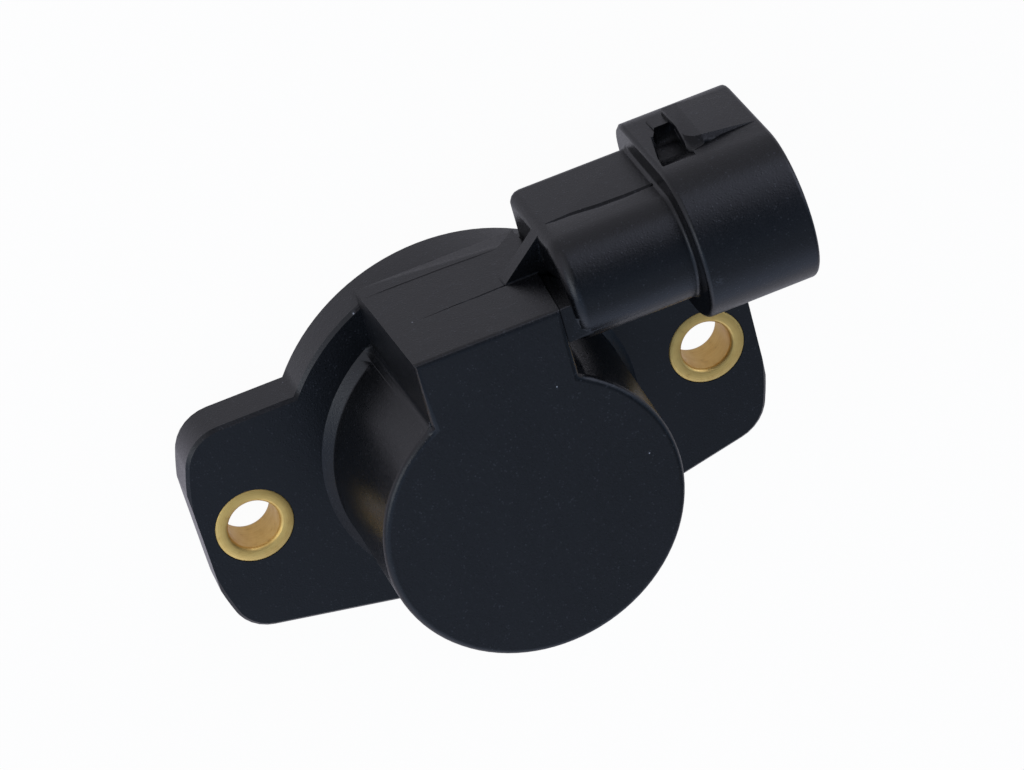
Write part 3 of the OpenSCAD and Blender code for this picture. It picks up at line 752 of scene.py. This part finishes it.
@dataclass
class Moulding:
    """The housing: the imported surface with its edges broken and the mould's lines put in."""

    frame: Mapping[str, object]
    edge_mm: float = 0.16
    edge_steps: int = 2
    root_mm: float = 0.42
    root_steps: int = 3
    root_x_mm: float = 22.0
    sharp_deg: float = 32.0
    flat_deg: float = 0.6
    plain_z_mm: float = 5.7
    lock_x_mm: float = 22.6
    lock_y_mm: float = 26.2
    lines: tuple[Union[PartingGroove, WitnessRidge, Carving], ...] = (
        *CatchHollow().parts(),
        PartingGroove(
            "stem_parting",
            25.6,
            (10.4, 11.5, 13.1, 14.6, 15.8, 17.2, 18.6, 20.2, 22.2),
            (14.45, 14.52, 14.46, 14.66, 14.86, 14.9, 14.98, 14.9, 14.8),
            (0.08, 0.2, 0.3, 0.36, 0.38, 0.36, 0.36, 0.3, 0.25),
            0.8,
        ),
        PartingGroove(
            "neck_parting",
            21.05,
            (-3.8, -3.0, -0.6, 1.6, 3.6, 5.2),
            (15.0, 15.02, 14.9, 14.96, 14.9, 14.8),
            (0.02, 0.03, 0.06, 0.1, 0.14, 0.14),
            0.3,
        ),
        WitnessRidge(
            "neck_witness",
            21.05,
            (-7.6, -5.0, -2.0, 1.0, 4.0, 6.4),
            (7.15, 7.13, 7.18, 7.22, 7.4, 7.5),
            0.045,
            0.34,
            0.05,
        ),
    )

    def build(self) -> list[bpy.types.Object]:
        """Builds and dresses the housing.

        Returns:
            The pieces that were made.
        """
        mesh = self.frame["nodes"]["housing"].data.copy()
        mesh.name = "housing_moulding"
        mesh.materials.clear()
        form = bmesh.new()
        form.from_mesh(mesh)
        self._join_faces(form)
        self._round_edges(form)
        form.to_mesh(mesh)
        form.free()
        piece = new_piece("housing_moulding", mesh, Body.HOUSING)
        self._put_lines(piece)
        shade(piece.data, self.sharp_deg)
        flat_faces_first(piece)
        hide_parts("housing")
        dress(piece, Finishes.housing.material())
        return [piece]

    def _join_faces(self, form: bmesh.types.BMesh) -> None:
        """Turns the triangles of each flat face into one face.

        Args:
            form: the mesh to clean.
        """
        bmesh.ops.remove_doubles(form, verts=form.verts, dist=0.002 * MM)
        bmesh.ops.dissolve_degenerate(form, dist=0.002 * MM, edges=form.edges)
        bmesh.ops.dissolve_limit(
            form,
            angle_limit=math.radians(self.flat_deg),
            use_dissolve_boundaries=False,
            verts=form.verts,
            edges=form.edges,
        )

    def _round_edges(self, form: bmesh.types.BMesh) -> None:
        """Rounds the root between stem and shroud, and breaks the other sharp edges that have room.

        Args:
            form: the mesh to round.
        """
        form.normal_update()
        sharp = [e for e in form.edges if len(e.link_faces) == 2 and self._angle(e) > self.sharp_deg]
        root = [
            e
            for e in sharp
            if not e.is_convex and all(abs(v.co.x / MM - self.root_x_mm) < 0.02 for v in e.verts)
        ]
        self._bevel(form, root, self.root_mm, self.root_steps)
        form.normal_update()
        sharp = [e for e in form.edges if len(e.link_faces) == 2 and self._angle(e) > self.sharp_deg]
        free = [e for e in sharp if self._is_broken(e)]
        self._bevel(form, self._with_room(free), self.edge_mm, self.edge_steps)

    def _is_broken(self, edge: bmesh.types.BMEdge) -> bool:
        """Whether an edge is one that the mould leaves a little round.

        The flange keeps its own chamfer, and the lock's edges are formed where it is carved.

        Args:
            edge: a sharp edge.

        Returns:
            True where it is to be rounded.
        """
        points = [v.co / MM for v in edge.verts]
        if max(p.z for p in points) < self.plain_z_mm:
            return False
        return not all(p.x > self.lock_x_mm and p.y > self.lock_y_mm for p in points)

    @staticmethod
    def _angle(edge: bmesh.types.BMEdge) -> float:
        """The turn between the two faces of an edge, in degrees."""
        return math.degrees(edge.calc_face_angle(0.0))

    def _with_room(self, edges: Sequence[bmesh.types.BMEdge]) -> list[bmesh.types.BMEdge]:
        """Keeps the edges whose ends have room for the rounding.

        Args:
            edges: sharp edges.

        Returns:
            Those that can be rounded by the full width.
        """
        chosen = set(edges)
        room = 1.5 * self.edge_mm * MM
        for _ in range(4):
            tight = {
                edge
                for edge in chosen
                for vert in edge.verts
                if any(e not in chosen and e.calc_length() < room for e in vert.link_edges)
                or edge.calc_length() < 0.6 * room
            }
            if not tight:
                break
            chosen -= tight
        return [edge for edge in edges if edge in chosen]

    @staticmethod
    def _bevel(
        form: bmesh.types.BMesh, edges: Sequence[bmesh.types.BMEdge], width_mm: float, steps: int
    ) -> None:
        """Rounds edges.

        Args:
            form: the mesh.
            edges: the edges to round.
            width_mm: how far the rounding reaches on each face.
            steps: how many faces it has.
        """
        bmesh.ops.bevel(
            form,
            geom=list(edges),
            offset=width_mm * MM,
            offset_type="OFFSET",
            segments=steps,
            profile=0.5,
            affect="EDGES",
            clamp_overlap=False,
            loop_slide=True,
        )

    def _put_lines(self, piece: bpy.types.Object) -> None:
        """Puts the mould's lines on the moulding.

        Args:
            piece: the moulding.
        """
        bars = []
        for line in self.lines:
            bar = line.bar()
            step = piece.modifiers.new(line.name, "BOOLEAN")
            step.object = bar
            step.operation = line.operation
            step.solver = "EXACT"
            bars.append(bar)
        bpy.context.view_layer.update()
        shaped = bpy.data.meshes.new_from_object(piece.evaluated_get(bpy.context.evaluated_depsgraph_get()))
        before = len(piece.data.polygons)
        piece.modifiers.clear()
        piece.data = shaped
        LOG.info("mould lines: %d faces became %d", before, len(shaped.polygons))
        for bar in bars:
            spare = bar.data
            bpy.data.objects.remove(bar)
            bpy.data.meshes.remove(spare)


@dataclass
class Bush:
    """A turned brass bush in one ear."""

    side: int
    spacing_mm: float = 50.0
    outer_mm: float = 8.3
    hole_mm: float = 5.4
    length_mm: float = 5.2
    chamfer_mm: float = 0.4
    edge_mm: float = 0.12

    def build(self, finish: TurnedBrass) -> list[bpy.types.Object]:
        """Builds and dresses the bush.

        Args:
            finish: its brass.

        Returns:
            The pieces that were made.
        """
        name = "left_bush" if self.side < 0 else "right_bush"
        outer, hole = self.outer_mm / 2, self.hole_mm / 2
        e, c, top = self.edge_mm, self.chamfer_mm, self.length_mm
        profile = [
            (hole + c, 0.0),
            (outer - e, 0.0),
            (outer, e),
            (outer, top - e),
            (outer - e, top),
            (hole + c, top),
            (hole + 0.6 * c, top - 0.12 * c),
            (hole + 0.12 * c, top - 0.6 * c),
            (hole, top - c - 0.15),
            (hole, c + 0.15),
            (hole + 0.12 * c, 0.6 * c),
            (hole + 0.6 * c, 0.12 * c),
        ]
        mesh = revolve(profile, (self.side * self.spacing_mm / 2, 0.0), 128)
        shade(mesh, 50.0)
        piece = new_piece(f"{name}_turned", mesh, Body.HOUSING)
        flat_faces_first(piece)
        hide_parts(name)
        dress(piece, finish.material())
        return [piece]


@dataclass
class CarriedNodes:
    """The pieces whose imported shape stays: covers, seals, leads, the card and the rotor's parts."""

    frame: Mapping[str, object]
    finishes: Mapping[str, object] = field(
        default_factory=lambda: {
            "rear_cover": Finishes.cover,
            "flange_seal": Finishes.seal,
            "shaft_seal": Finishes.lip_seal,
            "pivot_pin": Finishes.ground_steel,
            "track_card": Finishes.laminate,
            "resistor_track": Finishes.carbon,
            "collector_track": Finishes.silver,
            "supply_terminal": Finishes.tin,
            "signal_terminal": Finishes.tin,
            "ground_terminal": Finishes.tin,
            "supply_rivet": Finishes.rivet,
            "signal_rivet": Finishes.rivet,
            "ground_rivet": Finishes.rivet,
            "wave_washer": Finishes.washer_steel,
            "return_spring": Finishes.spring_steel,
            "rotor": Finishes.rotor,
            "drive_clip": Finishes.clip_steel,
            "wiper_brush": Finishes.wiper_alloy,
        }
    )

    def build(self) -> list[bpy.types.Object]:
        """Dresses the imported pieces.

        Returns:
            The dressed pieces.
        """
        made: dict[str, bpy.types.Material] = {}
        dressed = []
        for name, finish in self.finishes.items():
            if finish.name not in made:
                made[finish.name] = finish.material()
            piece = self.frame["nodes"][name]
            dress(piece, made[finish.name])
            dressed.append(piece)
        return dressed


# ---------------------------------------------------------------- studio


@dataclass(frozen=True)
class Panel:
    """A broad soft patch of light in the room."""

    azimuth_deg: float
    elevation_deg: float
    colour: Colour

    @property
    def direction(self) -> tuple[float, float, float]:
        """Where the patch's middle lies, as seen from the object."""
        turn, rise = math.radians(self.azimuth_deg), math.radians(self.elevation_deg)
        return math.cos(turn) * math.cos(rise), math.sin(turn) * math.cos(rise), math.sin(rise)


@dataclass
class Studio:
    """Floor, lamps, surroundings and camera."""

    eye: tuple[float, float, float] = (-0.05128, 0.20557, 0.33463)
    right: tuple[float, float, float] = (0.9207, -0.24398, 0.3046)
    up: tuple[float, float, float] = (0.36324, 0.8211, -0.44027)
    lens_mm: float = 134.985
    floor_half: float = 1.6
    floor_shadow: float = 0.035
    floor_cloth: Colour = (0.82, 0.82, 0.82)
    lamp_aim: tuple[float, float, float] = (0.003, 0.008, 0.012)
    bounce: Colour = (0.54, 0.54, 0.61)
    # The second tint is painted reflection: the floor glows brighter left of the object, and this is seen
    # only in reflections.
    painted_reflection_left: Colour = (0.76, 0.74, 0.86)
    painted_patch_x_mm: tuple[float, float] = (-27.0, -33.0)
    room_level: float = 1.25
    room_base: Colour = (0.03, 0.035, 0.045)
    panel_half_deg: float = 52.0
    panels: tuple[Panel, ...] = (
        Panel(0, 8, (0.16, 0.25, 0.39)),
        Panel(45, 8, (1.32, 1.39, 1.73)),
        Panel(135, 8, (0.69, 0.71, 0.80)),
        Panel(180, 8, (0.02, 0.07, 0.16)),
        Panel(225, 8, (0.40, 0.38, 0.41)),
        Panel(270, 8, (0.31, 0.37, 0.53)),
        Panel(210, 42, (0.20, 0.29, 0.45)),
        Panel(270, 42, (0.14, 0.15, 0.17)),
        Panel(0, 90, (0.13, 0.17, 0.25)),
    )

    def build(self) -> None:
        """Builds the whole studio."""
        self._camera()
        self._floor()
        self._world()
        self._lamp("key", (-0.75, 0.15, 0.5), (0.5, 0.5), 1.4, (0.95, 0.98, 1.0))

    def _camera(self) -> None:
        """Places the camera where the picture was taken from."""
        data = bpy.data.cameras.new("studio_camera")
        data.lens = self.lens_mm
        data.sensor_width = 36.0
        data.clip_start, data.clip_end = 0.01, 20.0
        camera = bpy.data.objects.new("studio_camera", data)
        right, up = Vector(self.right).normalized(), Vector(self.up)
        up = (up - right * up.dot(right)).normalized()
        back = right.cross(up)
        turn = Matrix((right, up, back)).transposed().to_4x4()
        camera.matrix_world = Matrix.Translation(self.eye) @ turn
        bpy.context.scene.collection.objects.link(camera)
        bpy.context.scene.camera = camera

    def _floor(self) -> None:
        """Lays a pale floor that shows white to the camera and keeps a soft shadow; in reflections it glows
        a dimmer tint, with a painted brighter patch left of the object.
        """
        h = self.floor_half
        mesh = bpy.data.meshes.new("studio_floor")
        mesh.from_pydata([(-h, -h, 0), (h, -h, 0), (h, h, 0), (-h, h, 0)], [], [(0, 1, 2, 3)])
        floor = bpy.data.objects.new("studio_floor", mesh)
        floor.location = (0.0, 0.0, -0.05 * MM)
        bpy.context.scene.collection.objects.link(floor)
        r = Recipe("floor_white")
        seen = r.add("ShaderNodeLightPath", output="Is Camera Ray")
        mirrored = r.add("ShaderNodeLightPath", output="Is Glossy Ray")
        through = r.add("ShaderNodeLightPath", output="Is Transmission Ray")
        own = (seen.most(through) * (1.0 - self.floor_shadow)).most(mirrored)
        # Painted reflection: left of x = -27 mm, the floor's glow in reflections is brighter.
        side = r.coordinate(Axis.X).rise(*self.painted_patch_x_mm)
        tint = r.blend(mirrored, (1.0, 1.0, 1.0), r.blend(side, self.bounce, self.painted_reflection_left))
        cloth = r.add("ShaderNodeBsdfDiffuse", None, {"Color": self.floor_cloth})
        light = r.add("ShaderNodeEmission", None, {"Color": tint, "Strength": 1.0})
        r.add_output(r.add("ShaderNodeMixShader", None, {0: own, 1: cloth, 2: light}))
        dress(floor, r.material)

    def _world(self) -> None:
        """Surrounds the object with soft panels; the camera sees white."""
        world = bpy.data.worlds.new("studio_room")
        bpy.context.scene.world = world
        world.use_nodes = True
        g = Graph(world.node_tree)
        g.end = "ShaderNodeOutputWorld"
        way = g.add("ShaderNodeTexCoord", output="Generated")
        edge = math.cos(math.radians(self.panel_half_deg))
        total: object = self.room_base
        for panel in self.panels:
            facing = {0: way, 1: panel.direction}
            near = g.add("ShaderNodeVectorMath", {"operation": "DOT_PRODUCT"}, facing, "Value")
            patch = g.blend(near.rise(edge, 1.0), (0.0, 0.0, 0.0), panel.colour)
            total = g.add("ShaderNodeVectorMath", {"operation": "ADD"}, {0: total, 1: patch})
        room = g.add("ShaderNodeBackground", None, {"Color": total, "Strength": self.room_level})
        white = g.add("ShaderNodeBackground", None, {"Color": (1.0, 1.0, 1.0), "Strength": 1.0})
        seen = g.add("ShaderNodeLightPath", output="Is Camera Ray")
        g.add_output(g.add("ShaderNodeMixShader", None, {0: seen, 1: room, 2: white}))

    def _lamp(
        self, name: str, place: Sequence[float], size: tuple[float, float], power: float, colour: Colour
    ) -> None:
        """Hangs a soft lamp that points at the object.

        Args:
            name: the lamp's name.
            place: where it hangs.
            size: width and height.
            power: in watts.
            colour: its tint.
        """
        data = bpy.data.lights.new(name, "AREA")
        data.shape = "RECTANGLE"
        data.size, data.size_y = size
        data.energy = power
        data.color = colour
        lamp = bpy.data.objects.new(name, data)
        lamp.location = place
        aim = Vector(self.lamp_aim) - Vector(place)
        lamp.rotation_euler = aim.to_track_quat("-Z", "Y").to_euler()
        bpy.context.scene.collection.objects.link(lamp)


# ---------------------------------------------------------------- the whole sensor


def main() -> None:
    """Builds the sensor and its studio, and logs how many faces each piece has."""
    logging.basicConfig(level=logging.INFO, format="%(name)s: %(message)s")
    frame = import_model()
    scene = bpy.context.scene
    scene.view_settings.view_transform = "Standard"
    builders: list[tuple[str, Callable[[], list[bpy.types.Object]]]] = [
        ("housing", Moulding(frame).build),
        ("left bush", lambda: Bush(-1).build(Finishes.left_bush)),
        ("right bush", lambda: Bush(1).build(Finishes.right_bush)),
        ("carried pieces", CarriedNodes(frame).build),
    ]
    for label, build in builders:
        for piece in build():
            LOG.info("%s: %s, %d faces", label, piece.name, len(piece.data.polygons))
    Studio().build()
    bpy.context.view_layer.update()


if __name__ == "__main__":
    main()
